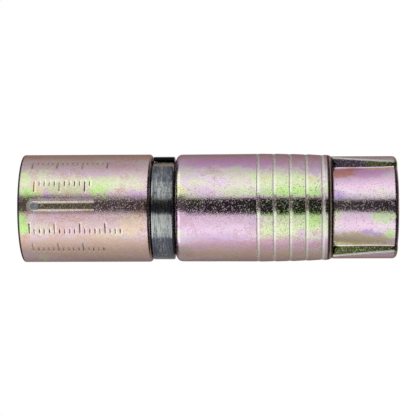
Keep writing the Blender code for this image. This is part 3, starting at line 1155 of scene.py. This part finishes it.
@dataclass
class ExpansionSleeve:
    """Sleeve with saw teeth, sawn open from its foot on two sides, and a neck at its top."""

    node: str = "expansion_sleeve"
    slot: str = "sleeve_steel"
    bore: float = 5.15 * MM
    neck: float = 6.65 * MM
    radius: float = 7.8 * MM
    shoulder: float = 31.8 * MM
    flare_foot: float = 6.01 * MM
    flare_angle: float = math.radians(5.1)
    shoulder_edge: float = 0.92 * MM
    neck_edge: float = 0.2 * MM
    foot_edge: float = 0.06 * MM
    end_length: float = 0.98 * MM
    end_depth: float = 0.42 * MM
    end_steps: int = 14
    band_swell: float = 0.08 * MM
    band_shy: float = 0.035 * MM
    teeth: int = 5
    pitch: float = 2.3 * MM
    step: float = 0.075 * MM
    rise: float = 0.45 * MM
    nick: float = 0.1 * MM
    nick_depth: float = 0.05 * MM
    last_tooth: float = 1.1 * MM
    crest_edge: float = 1.6 * MM
    valley_edge: float = 0.03 * MM
    grip_fall: float = 0.21 * MM
    slit_width: float = 1.2 * MM
    slit_length: float = 17.0 * MM
    slit_steps: int = 16
    rise_highlight: float = 0.2 * MM
    spacing: float = 1.2 * MM
    columns: int = 288

    def crest(self, index: int) -> float:
        """Return the radius of a tooth's crest, counted from the shoulder."""
        share = index / (self.teeth - 1)
        return self.radius - self.band_shy + self.band_swell - self.grip_fall * share ** 2

    def grip(self, foot: float) -> list[Corner]:
        """Return the outside from the shoulder to the foot.

        Args:
            foot: Height of the sleeve's foot.

        Returns:
            Corners with their easings.
        """
        corners = [
            (self.neck, self.shoulder, 0.0),
            (self.radius - self.band_shy, self.shoulder, self.shoulder_edge),
        ]
        for index in range(self.teeth):
            crest = self.crest(index)
            crest_z = foot + self.last_tooth + (self.teeth - 1 - index) * self.pitch
            valley_z = crest_z + self.rise
            nicked = crest - self.step + self.nick_depth
            corners.append((nicked, valley_z + self.nick, self.valley_edge))
            corners.append((crest - self.step, valley_z, self.valley_edge))
            corners.append((crest, crest_z, self.crest_edge))
        for step in range(self.end_steps + 1):
            angle = math.pi / 2 * step / self.end_steps
            x = self.crest(self.teeth - 1) - self.end_depth * (1 - math.cos(angle))
            corners.append((x, foot + self.end_length * (1 - math.sin(angle)), 0.0))
        return corners

    def slit_tool(self, side: Side, foot: float) -> bpy.types.Object:
        """Return the round-ended blade that saws one slit.

        Args:
            side: Half of the sleeve that it goes through.
            foot: Height of the sleeve's foot.

        Returns:
            The closed tool.
        """
        half = self.slit_width / 2
        top = foot + self.slit_length - half
        flat = [(-half, foot - self.slit_width), (half, foot - self.slit_width)]
        flat += arc_points((0, top), half, 0, math.pi, self.slit_steps)
        near = [(0.0, y, z) for y, z in flat]
        far = [(side.value * 2 * self.radius, y, z) for y, z in flat]
        form = bmesh.new()
        loops = [[form.verts.new(point) for point in loop] for loop in (near, far)]
        form.faces.new(loops[0])
        form.faces.new(reversed(loops[1]))
        for index in range(len(flat)):
            after = (index + 1) % len(flat)
            form.faces.new((loops[0][index], loops[1][index], loops[1][after], loops[0][after]))
        bmesh.ops.recalc_face_normals(form, faces=form.faces)
        return placed("slit_tool", form)

    def build(self) -> bpy.types.Object:
        """Build the sleeve.

        Returns:
            The dressed sleeve.
        """
        low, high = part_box(self.node)
        foot = low.z
        flare_top = foot + (self.flare_foot - self.bore) / math.tan(self.flare_angle)
        corners = [
            (self.bore, high.z, 0.0),
            (self.neck, high.z, self.neck_edge),
            *self.grip(foot),
            (self.flare_foot, foot, self.foot_edge),
            (self.bore, flare_top, 0.0),
        ]
        section = filled_outline(rounded_outline(corners), lambda here, after: self.spacing)
        angles = np.arange(self.columns) * (math.tau / self.columns)
        sleeve = skinned("toothed_sleeve", turned(section, angles))
        for side in Side:
            cut(sleeve, self.slit_tool(side, foot))
        dress(sleeve, self.node, self.slot, self.finish(foot))
        return sleeve

    def finish(self, foot: float) -> bpy.types.Material:
        """Make the expansion sleeve's zinc, with the lines at its teeth and its two ends: painted
        highlights on the rises, the last tooth and the foot's rounding, and painted shade at the foot and
        beside the ring.

        Args:
            foot: Height of the sleeve's foot.

        Returns:
            The material.
        """
        valley_z = foot + self.last_tooth + self.rise
        nick_z = valley_z + self.nick / 2
        rise_highlight_z = valley_z - self.rise_highlight
        return ZincFinish(
            "sleeve_zinc", (Tint.ROSE, Tint.PINK, Tint.PEARL, Tint.SILVER, Tint.CREAM),
            # Patches towards the sides (rose, mauve, tan and brown) are partly the film's colour and partly
            # painted shade: the sides' darker, warmer look.
            patches=(
                Patch(Tint.ROSE, 84, 28, 16, 16, 0.8),
                Patch(Tint.MAUVE, 66, 21, 12, 15, 0.8),
                Patch(Tint.MAGENTA, 54, 23.5, 9, 8.0, 0.85),
                Patch(Tint.MAUVE, 52, 13.5, 8, 5.0, 0.5),
                Patch(Tint.CREAM, 37, 20, 7, 9, 0.6),
                Patch(Tint.YELLOW, 17.3, 30.8, 7, 1.0, 0.85),
                Patch(Tint.LILAC, 17, 28.4, 7, 1.7, 0.5),
                Patch(Tint.PALE_LIME, 15, 23.0, 6, 2.8, 0.7),
                Patch(Tint.CREAM, 26, 22.5, 8, 2.4, 0.6),
                Patch(Tint.PALE_LIME, 26, 15.5, 13, 6.0, 0.9),
                Patch(Tint.LIME, 14, 15.5, 6, 5.8, 0.9),
                Patch(Tint.LIME, 1, 14.8, 8, 5.6, 0.5),
                Patch(Tint.ORCHID, -15, 27.0, 15, 5.5, 0.75),
                Patch(Tint.LIME, -8, 14.5, 5, 5.8, 0.85),
                Patch(Tint.PALE_LIME, -24, 14.8, 15, 6.0, 0.9),
                Patch(Tint.LIME, -17, 12.2, 9, 1.6, 0.9),
                Patch(Tint.LIME, 20, 10.1, 9, 0.3, 0.9),
                Patch(Tint.YELLOW, -24, 10.1, 12, 0.3, 0.8),
                Patch(Tint.LILAC, -31, 13.6, 6, 0.8, 0.8),
                Patch(Tint.LILAC, -21, 21.0, 9, 1.0, 0.6),
                Patch(Tint.GOLD, 31.4, 18.9, 4, 0.5, 0.7),
                Patch(Tint.GOLD, 29.2, 12.3, 4, 0.6, 0.8),
                Patch(Tint.LILAC, 44, 11.6, 9, 0.9, 0.6),
                Patch(Tint.LILAC, -35, 25.5, 6, 4.5, 0.8),
                Patch(Tint.MAUVE, -46, 20, 8, 15, 0.8),
                Patch(Tint.TAN, -61, 21, 10, 14, 0.9),
                Patch(Tint.BROWN, -55, 30.2, 9, 1.5, 0.6),
                Patch(Tint.BROWN, -80, 20, 12, 13, 0.6),
            ),
            bands=(
                # Painted highlight: a pale line on each tooth's rise, where it catches the light.
                Bands(rise_highlight_z, 0.16 * MM, (0.94, 0.94, 0.88), 0.2, self.pitch, self.teeth, 0.55),
                Bands(nick_z, 0.07 * MM, (0.92, 0.86, 0.76), 0.8, self.pitch, self.teeth),
                # Painted highlight on the last tooth.
                Bands(foot + 1.32 * MM, 0.2 * MM, (1.0, 1.0, 0.98), 0.42, broken=0.45),
                # Painted shade on the foot's rounding.
                Bands(foot + 0.6 * MM, 0.22 * MM, (0.10, 0.08, 0.07), 0.3, broken=0.45),
                # Painted highlight: a light line on the foot's rounding.
                Bands(foot + 0.36 * MM, 0.09 * MM, (0.92, 0.76, 0.62), 0.6),
                # Painted shade in the gap at the foot, next to the cone.
                Bands(foot + 0.08 * MM, 0.12 * MM, (0.06, 0.05, 0.04), 0.3),
                Bands(self.shoulder + 1.8 * MM, 1.85 * MM, (0.66, 0.58, 0.50), 0.6),
                # Painted shade: dark lines in the gaps beside the ring, at the shoulder and further up the
                # neck.
                Bands(self.shoulder + 0.1 * MM, 0.16 * MM, (0.03, 0.03, 0.03), 0.5),
                Bands(self.shoulder + 3.4 * MM, 0.2 * MM, (0.03, 0.03, 0.03), 0.5),
            ),
        ).make()


@dataclass
class ExpanderCone:
    """Winged cone with a plain nose inside the sleeve and a thread through it."""

    node: str = "expander_cone"
    slot: str = "cone_steel"
    radius: float = 6.72 * MM
    wing_radius: float = 7.41 * MM
    wing_length: float = 9.25 * MM
    cone_angle: float = math.radians(5.1)
    end_round: float = 0.65 * MM
    half_top: float = 2.1 * MM
    half_foot: float = 3.68 * MM
    bulge: float = 0.19 * MM
    fillet: float = 0.3 * MM
    edge: float = 0.12 * MM
    nose_step: float = 0.05 * MM
    nose_edge: float = 0.15 * MM
    tapped: float = 4.05 * MM
    thread_depth: float = 0.6 * MM
    thread_pitch: float = 1.5875 * MM
    thread_slope: float = 1.3
    body_steps: int = 26
    corner_steps: int = 8
    nose_steps: int = 6
    end_rows: int = 10
    wing_rows: int = 23
    thread_rows: int = 170

    def body_radius(self, z: float) -> float:
        """Return the round body's radius at a height."""
        return self.radius - z * math.tan(self.cone_angle)

    def quadrant(self, body: float, reach: float, half: float) -> list[Point]:
        """Return a quarter of the winged section, from the front to the tip of the +X wing.

        Args:
            body: Radius of the round body.
            reach: Radius of the wing's outside.
            half: Distance of the wing's flank from the middle.

        Returns:
            Points as (towards the wing, towards the front).
        """
        root = Vector((0, half + self.fillet))
        root.x = math.sqrt((body + self.fillet) ** 2 - root.y ** 2)
        root_angle = math.atan2(root.y, root.x)
        tip = Vector((0, half - self.edge))
        tip.x = math.sqrt((reach - self.edge) ** 2 - tip.y ** 2)
        tip_angle = math.atan2(tip.y, tip.x)
        points = arc_points((0, 0), body, math.pi / 2, root_angle, self.body_steps)[:-1]
        points += arc_points(root, self.fillet, root_angle - math.pi, -math.pi / 2, self.corner_steps)
        points += arc_points(tip, self.edge, math.pi / 2, tip_angle, self.corner_steps)[:-1]
        points += arc_points((0, 0), reach, tip_angle, 0, self.corner_steps * 2)
        return points

    def section(self, z: float) -> np.ndarray:
        """Return the whole winged section at a height, eased at the foot.

        Args:
            z: The height.

        Returns:
            The section's points, one a row.
        """
        foot = max(0.0, self.end_round - z)
        eased = self.end_round - math.sqrt(self.end_round ** 2 - foot ** 2)
        share = (self.wing_length - z) / self.wing_length
        half = self.half_top + (self.half_foot - self.half_top) * share
        half += 4 * self.bulge * share * (1 - share)
        quarter = self.quadrant(self.body_radius(z) - eased, self.wing_radius - eased, half - eased)
        loop = [(x, -y) for x, y in quarter]
        loop += [(x, y) for x, y in reversed(quarter[:-1])]
        loop += [(-x, y) for x, y in quarter[1:]]
        loop += [(-x, -y) for x, y in reversed(quarter[1:-1])]
        return np.array([(x, y, z) for x, y in loop])

    def heights(self) -> list[float]:
        """Space out the winged sections, close together round the foot.

        Returns:
            Their heights, foot first.
        """
        angles = np.linspace(0, math.pi / 2, self.end_rows + 1)
        curve = self.end_round * (1 - np.cos(angles))
        taper = np.linspace(self.end_round, self.wing_length, self.wing_rows + 1)[1:]
        return [*curve.tolist(), *taper.tolist()]

    def thread(self, angles: np.ndarray, top: float) -> np.ndarray:
        """Return the tapped bore, foot upwards, as rings of points.

        Args:
            angles: Angles of the section's points, from the front.
            top: Height of the nose's end.

        Returns:
            Array of rings, points and coordinates.
        """
        rings = []
        for row in range(self.thread_rows + 1):
            z = top * row / self.thread_rows
            turn = (z / self.thread_pitch - angles / math.tau) % 1.0
            groove = np.clip(0.5 + (0.5 - np.abs(turn * 2 - 1)) * self.thread_slope, 0, 1)
            lead = self.tapped + self.thread_depth - min(z, top - z)
            radii = np.maximum(self.tapped + self.thread_depth * groove, lead)
            rings.append(wrapped(radii, np.full_like(radii, z), angles))
        return np.array(rings)

    def build(self) -> bpy.types.Object:
        """Build the cone.

        Returns:
            The dressed cone.
        """
        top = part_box(self.node)[1].z
        body = [self.section(z) for z in self.heights()]
        angles = np.arctan2(body[0][:, 0], -body[0][:, 1])
        nose_top = self.body_radius(top) - self.nose_step
        nose_foot = self.body_radius(self.wing_length) - self.nose_step
        edge = self.nose_edge
        nose = [(nose_foot, self.wing_length)]
        nose += arc_points((nose_top - edge, top - edge), edge, 0, math.pi / 2, self.nose_steps)
        rings = [*body, *turned(np.array(nose), angles), *self.thread(angles, top)[::-1]]
        cone = skinned("winged_cone", np.array(rings))
        dress(cone, self.node, self.slot, self.finish())
        return cone

    def finish(self) -> bpy.types.Material:
        """Make the cone's zinc, with its worn wings.

        Returns:
            The material.
        """
        return ZincFinish(
            "cone_zinc", (Tint.PINK, Tint.PEARL, Tint.SILVER, Tint.PEARL, Tint.CREAM),
            worn=WingFilmAndHighlights(
                self.wing_radius,
                self.radius,
                math.tan(self.cone_angle),
                self.wing_length,
                self.half_top,
                self.half_foot,
                self.bulge,
            ),
            # The tan patches at the sides are partly the film's colour and partly painted shade; the salmon
            # patch beside the +X wing is partly a painted reflection of the wing, and the magenta patch
            # partly painted shade.
            patches=(
                Patch(Tint.TAN, 88, 5, 14, 8, 0.6),
                Patch(Tint.TAN, -88, 5, 14, 8, 0.6),
                Patch(Tint.ORCHID, 33, 5, 11, 6, 0.85),
                Patch(Tint.SALMON, 53, 7.6, 12, 2.8, 1.0),
                Patch(Tint.MAGENTA, 50, 3.4, 12, 2.9, 0.95),
                Patch(Tint.VIOLET, 15, 8.7, 8, 0.9, 0.75),
                Patch(Tint.VIOLET, 13, 6.5, 4, 3.0, 0.35),
                Patch(Tint.ORCHID, -24, 6.2, 13, 3.2, 0.6),
                Patch(Tint.LIME, -14, 2.0, 9, 2.0, 0.6),
                Patch(Tint.BROWN, -48, 6.0, 13, 6.0, 1.0),
                Patch(Tint.LIME, -38, 1.4, 8, 1.1, 0.7),
                Patch(Tint.VIOLET, -36, 4.2, 5, 1.0, 0.85),
                Patch(Tint.CREAM, 7.5, 2.2, 4, 1.4, 0.4),
            ),
        ).make()


@dataclass
class LightDome:
    """Soft light all round: two bright sides and a bright top, with a dark gap at the camera.

    Spans are in degrees, round from the camera or up from the level.
    """

    camera_angle: float
    radius: float = 0.45
    segments: int = 64
    gap_angle: float = math.radians(3.3)
    gap_lean: float = math.radians(6.6)
    gap_edge: Span = (13.0, 17.5)
    gap_flare: float = 3.0
    flare_lift: Span = (3.2, 3.9)
    mouth_lift: Span = (5.4, 6.6)
    crown_aside: Span = (78.0, 100.0)
    crown_lift: Span = (12.0, 22.0)
    top_lift: Span = (42.0, 60.0)
    back_aside: Span = (92.0, 120.0)
    back_lift: Span = (20.0, 40.0)
    rim_fall: Span = (12.0, 20.0)
    wall_levels: Sequence[tuple[float, float]] = (
        (0, 0.76), (24, 0.76), (33, 0.86), (43, 0.96), (53, 0.98), (63, 0.91), (73, 0.78),
        (85, 0.63), (97, 0.51), (110, 0.45), (127, 0.40), (153, 0.35), (180, 0.32),
    )
    rim_stops: Sequence[tuple[float, Colour]] = (
        (0.0, (0.02, 0.02, 0.02)),
        (120 / 180, (0.02, 0.02, 0.02)),
        (145 / 180, (0.30, 0.25, 0.23)),
        (1.0, (0.36, 0.30, 0.28)),
    )
    gap: Colour = (0.018, 0.018, 0.015)
    gap_glow: Colour = (0.095, 0.076, 0.084)
    sky: Colour = (1.2, 1.2, 1.2)
    dark: Colour = (0.02, 0.02, 0.02)

    def build(self, middle: float) -> bpy.types.Object:
        """Build the dome round the anchor's middle height.

        Args:
            middle: Height of its centre.

        Returns:
            The dome.
        """
        form = bmesh.new()
        bmesh.ops.create_uvsphere(
            form, u_segments=self.segments, v_segments=self.segments // 2, radius=self.radius)
        dome = placed("light_dome", form)
        dome.location.z = middle
        dome.visible_camera = False
        dome.visible_shadow = False
        dome.data.materials.append(self.finish())
        dome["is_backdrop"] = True
        return dome

    def finish(self) -> bpy.types.Material:
        """Make the dome's light, which varies round it and with height.

        Returns:
            The material.
        """
        graph = ShaderGraph(bpy.data.materials.new("dome_light"))
        around = Around(graph)
        aside = self.away(graph, around, self.camera_angle)
        half_turns = aside * (1 / 180)
        lift = graph.maths("ARCSINE", around.height / self.radius) * (180 / math.pi)
        wall_stops = [(angle / 180, (level, level, level)) for angle, level in self.wall_levels]
        light = graph.ramp(half_turns, wall_stops)
        rim = graph.ramp(half_turns, self.rim_stops)
        crown = (1 - aside.ramped(*self.crown_aside)) * lift.ramped(*self.crown_lift)
        light = graph.blend(crown, light, self.sky)
        mouthward = lift.ramped(*self.mouth_lift)
        lean = mouthward * self.gap_lean + (self.camera_angle + self.gap_angle)
        flare = (1 - lift.ramped(*self.flare_lift) + mouthward) * self.gap_flare
        gap = 1 - (self.away(graph, around, lean) - flare).ramped(*self.gap_edge)
        light = graph.blend(gap, light, graph.blend(mouthward, self.gap, self.gap_glow))
        light = graph.blend(lift.ramped(*self.top_lift), light, self.dark)
        back = aside.ramped(*self.back_aside) * lift.ramped(*self.back_lift)
        light = graph.blend(back, light, self.dark)
        light = graph.blend((0 - lift).ramped(*self.rim_fall), light, rim)
        return graph.finish(graph.node("ShaderNodeEmission", {}, {"Color": light, "Strength": 1.0}))

    @staticmethod
    def away(graph: ShaderGraph, around: Around, angle: Term) -> Signal:
        """Return how many degrees round a direction lies from an angle, from 0 to 180."""
        turn = (around.angle - angle).size() * (180 / math.pi)
        return graph.maths("MINIMUM", turn, 360 - turn)


@dataclass
class Studio:
    """Pale floor, white surroundings, soft light and the camera."""

    floor_half: float = 1.5
    floor_drop: float = 0.05 * MM
    floor_cells: int = 8
    floor_glow: float = 0.96
    floor_tone: float = 0.22
    floor_grain: Grain = Grain(60.0, 4.0)
    floor_change: float = 0.02
    world_light: float = 0.25
    camera_distance: float = 242.0 * MM
    camera_height: float = 18.0 * MM
    camera_swing: float = math.radians(2.5)
    camera_yaw: float = math.radians(2.19)
    camera_roll: float = math.radians(0.22)
    camera_offset: float = -0.015 * MM
    lens: float = 144.1
    sensor: float = 36.0
    view_range: Span = (10 * MM, 10.0)

    def seen(self, graph: ShaderGraph) -> Signal:
        """Tell the rays that show the surroundings: camera, glossy and transmission rays.

        Args:
            graph: Graph of the surroundings or of the floor.

        Returns:
            1 for those rays and 0 for the others.
        """
        path = graph.node("ShaderNodeLightPath")
        shown = path.output("Is Camera Ray") + path.output("Is Glossy Ray")
        return shown + path.output("Is Transmission Ray")

    def build_world(self) -> None:
        """Make the surroundings white to the eye and dim as a light."""
        world = bpy.data.worlds.new("white_surroundings")
        graph = ShaderGraph(world)
        strength = graph.maths("MAXIMUM", self.seen(graph), self.world_light)
        graph.finish(graph.node("ShaderNodeBackground", {}, {"Color": WHITE, "Strength": strength}))
        bpy.context.scene.world = world

    def build_floor(self) -> bpy.types.Object:
        """Build the pale floor, which keeps a soft shadow.

        Returns:
            The floor.
        """
        graph = ShaderGraph(bpy.data.materials.new("pale_floor"))
        strength = self.seen(graph) * self.floor_glow
        glow = graph.node("ShaderNodeEmission", {}, {"Color": WHITE, "Strength": strength})
        around = Around(graph)
        grain = graph.noise(around.place, self.floor_grain) * self.floor_change
        colour = graph.grey(grain + self.floor_tone)
        matt = graph.node("ShaderNodeBsdfDiffuse", {}, {"Color": colour})
        finish = graph.finish(graph.node("ShaderNodeAddShader", {}, {0: glow, 1: matt}))
        form = bmesh.new()
        cells = self.floor_cells
        bmesh.ops.create_grid(form, x_segments=cells, y_segments=cells, size=self.floor_half)
        floor = placed("pale_floor", form)
        floor.data.materials.append(finish)
        floor.location.z = -self.floor_drop
        floor.visible_glossy = False
        floor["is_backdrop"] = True
        return floor

    def build_camera(self) -> bpy.types.Object:
        """Build the camera, rolled a quarter turn so that the mouth is at the picture's left.

        Returns:
            The camera.
        """
        inward = Vector((math.sin(self.camera_swing), math.cos(self.camera_swing), 0))
        up = Vector((math.cos(self.camera_swing), -math.sin(self.camera_swing), 0))
        forward = inward * math.cos(self.camera_yaw) + Vector((0, 0, math.sin(self.camera_yaw)))
        right = forward.cross(up).normalized()
        turn = Matrix.Rotation(self.camera_roll, 3, forward)
        right = turn @ right
        up = turn @ up
        data = bpy.data.cameras.new("photo_camera")
        data.lens = self.lens
        data.sensor_width = self.sensor
        data.clip_start, data.clip_end = self.view_range
        camera = bpy.data.objects.new("photo_camera", data)
        place = inward * -self.camera_distance + up * self.camera_offset
        place.z += self.camera_height
        basis = Matrix((right, up, -forward)).transposed().to_4x4()
        camera.matrix_world = Matrix.Translation(place) @ basis
        bpy.context.scene.collection.objects.link(camera)
        bpy.context.scene.camera = camera
        return camera

    def build(self, middle: float) -> None:
        """Build the whole studio.

        Args:
            middle: Height of the anchor's middle.
        """
        self.build_world()
        self.build_floor()
        LightDome(camera_angle=-self.camera_swing).build(middle)
        self.build_camera()
        bpy.context.scene.view_settings.view_transform = "Standard"
        log.info("studio built")


def main() -> None:
    """Load the frame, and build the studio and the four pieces."""
    logging.basicConfig(level=logging.INFO, format="%(name)s: %(message)s")
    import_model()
    cad_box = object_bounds()
    middle = (cad_box[0].z + cad_box[1].z) / 2
    Studio().build(middle)
    for sub_assembly in (SpacerSleeve(), CrushRing(), ExpansionSleeve(), ExpanderCone()):
        piece = sub_assembly.build()
        log.info("%s is in place", piece.name)


if __name__ == "__main__":
    main()
